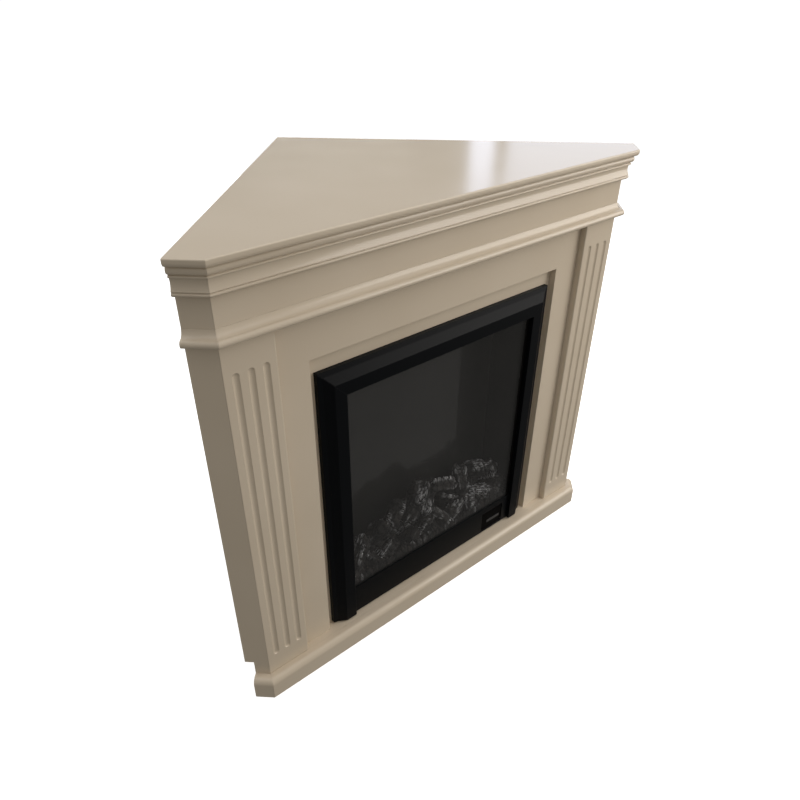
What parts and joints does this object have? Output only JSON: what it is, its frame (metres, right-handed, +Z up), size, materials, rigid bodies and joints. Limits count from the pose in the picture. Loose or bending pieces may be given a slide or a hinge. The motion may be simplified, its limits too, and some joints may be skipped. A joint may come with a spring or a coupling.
{
  "type": "electric fireplace",
  "caption": "Corner mantel with fluted pilasters and a black-trimmed electric firebox: glass front, moulded logs, drop-down control door and a hidden fan heater.",
  "frame": {"origin": "on the floor, at the middle of the box round the whole object", "axes": "+X to the right seen from the room, +Y back into the corner of the room, +Z up"},
  "size_m": [1.1694, 0.63, 1],
  "materials": {
    "cream_paint": "satin painted fibreboard",
    "bare_board": "bare fibreboard",
    "black_steel": "satin black powder coat",
    "glass": "clear toughened",
    "dark_steel": "matt black inside",
    "zinc_steel": "zinc plated",
    "screen_acrylic": "smoked acrylic",
    "log_resin": "charred wood paint on moulded resin",
    "ember_resin": "translucent moulded ember bed",
    "circuit": "green circuit board",
    "foil": "bright reflector blades",
    "motor_case": "pressed steel can",
    "wheel_alloy": "plain",
    "heater_fins": "plain fins",
    "black_plastic": "fine texture",
    "button_grey": "satin",
    "fastener": "zinc plated"
  },
  "bodies": {
    "fireplace": {"mantel_shelf": "cream_paint", "crown_front": "cream_paint", "crown_left": "cream_paint", "crown_right": "cream_paint", "bead_front": "cream_paint", "bead_left": "cream_paint", "bead_right": "cream_paint", "plinth_front": "cream_paint", "plinth_left": "cream_paint", "plinth_right": "cream_paint", "frieze_board": "cream_paint", "side_panel_left": "cream_paint", "side_panel_right": "cream_paint", "pilaster_left": "cream_paint", "pilaster_right": "cream_paint", "surround_stile_left": "cream_paint", "surround_stile_right": "cream_paint", "surround_rail": "cream_paint", "slip_left": "cream_paint", "slip_right": "cream_paint", "slip_top": "cream_paint", "base_deck": "cream_paint", "deck_feet": "bare_board", "corner_post": "bare_board", "back_rail_left": "bare_board", "back_rail_right": "bare_board", "trim_left": "black_steel", "trim_right": "black_steel", "trim_top": "black_steel", "lower_bezel": "black_steel", "outlet_grille": "black_steel", "glass_pane": "glass", "face_plate": "dark_steel", "air_divider": "dark_steel", "housing_left": "dark_steel", "housing_right": "dark_steel", "housing_base": "zinc_steel", "housing_top": "zinc_steel", "housing_back": "zinc_steel", "blower_duct": "zinc_steel", "flame_screen": "screen_acrylic", "log_set": "log_resin", "ember_bed": "ember_resin", "control_board": "circuit", "led_board": "circuit", "rotor_motor": "motor_case", "blower_motor": "motor_case", "heater_element": "heater_fins", "control_panel": "black_plastic", "terminal_box": "black_plastic", "cable_gland": "black_plastic", "slip_screws": "fastener", "door_pin": "fastener"},
    "door": {"control_door": "black_steel"},
    "flame_key": {"flame_button": "button_grey"},
    "heat_key": {"heat_button": "button_grey"},
    "thermostat": {"thermostat_knob": "black_plastic"},
    "switch": {"main_switch": "black_plastic"},
    "blower": {"blower_wheel": "wheel_alloy"},
    "rotor": {"flame_rotor": "foil"}
  },
  "joints": [
    {"name": "door_hinge", "type": "hinge", "parent": "fireplace", "child": "door", "pos_m": [0.21, -0.27048, 0.066], "axis": [1, 0, 0], "range_deg": [0, 90]},
    {"name": "flame_push", "type": "slide", "parent": "fireplace", "child": "flame_key", "axis": [0, 1, 0], "range_m": [0, 0.0025], "stiffness_N_per_m": 400, "springref_m": -0.002},
    {"name": "heat_push", "type": "slide", "parent": "fireplace", "child": "heat_key", "axis": [0, 1, 0], "range_m": [0, 0.0025], "stiffness_N_per_m": 400, "springref_m": -0.002},
    {"name": "thermostat_turn", "type": "hinge", "parent": "fireplace", "child": "thermostat", "pos_m": [0.2356, -0.24848, 0.096], "axis": [0, 1, 0], "range_deg": [-135, 135]},
    {"name": "switch_rock", "type": "hinge", "parent": "fireplace", "child": "switch", "pos_m": [0.1836, -0.24448, 0.096], "axis": [1, 0, 0], "range_deg": [-6, 6]},
    {"name": "blower_spin", "type": "hinge", "parent": "fireplace", "child": "blower", "pos_m": [0, -0.12348, 0.6925], "axis": [1, 0, 0], "continuous": true},
    {"name": "rotor_spin", "type": "hinge", "parent": "fireplace", "child": "rotor", "pos_m": [0, -0.12848, 0.15], "axis": [1, 0, 0], "continuous": true}
  ]
}
